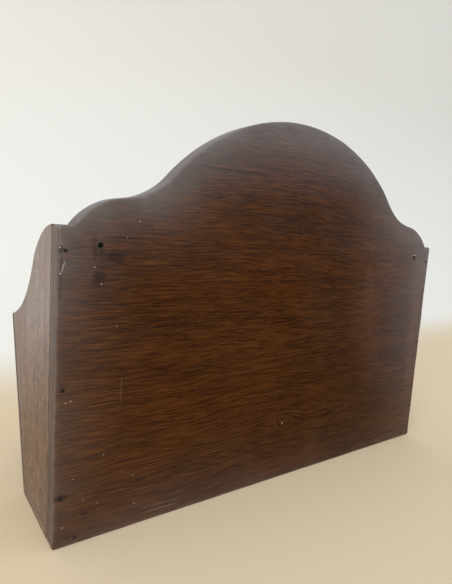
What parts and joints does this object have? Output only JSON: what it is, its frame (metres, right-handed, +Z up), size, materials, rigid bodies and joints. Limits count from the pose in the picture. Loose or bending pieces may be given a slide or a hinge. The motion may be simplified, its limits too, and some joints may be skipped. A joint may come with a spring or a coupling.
{
  "type": "letter holder",
  "caption": "Free-standing wooden letter holder: tall domed back board, ogee ends, leaning front and a divider that makes two pockets.",
  "frame": {"origin": "middle of the outline's box, on the surface that the holder stands on", "axes": "+X to the right seen from the open front, -Y towards the leaning front, +Y towards the tall back board, +Z up"},
  "size_m": [0.34, 0.1094, 0.263],
  "materials": {
    "dark_oak": "old dark varnish, satin",
    "end_oak": "worn dark varnish, dull satin",
    "pin_iron": "darkened iron"
  },
  "bodies": {
    "root": {"back_board": "dark_oak", "right_end": "end_oak", "left_end": "end_oak", "base_board": "dark_oak", "front_board": "dark_oak", "divider": "dark_oak", "back_pins": "pin_iron", "front_pins": "pin_iron", "base_pins": "pin_iron"}
  },
  "joints": []
}
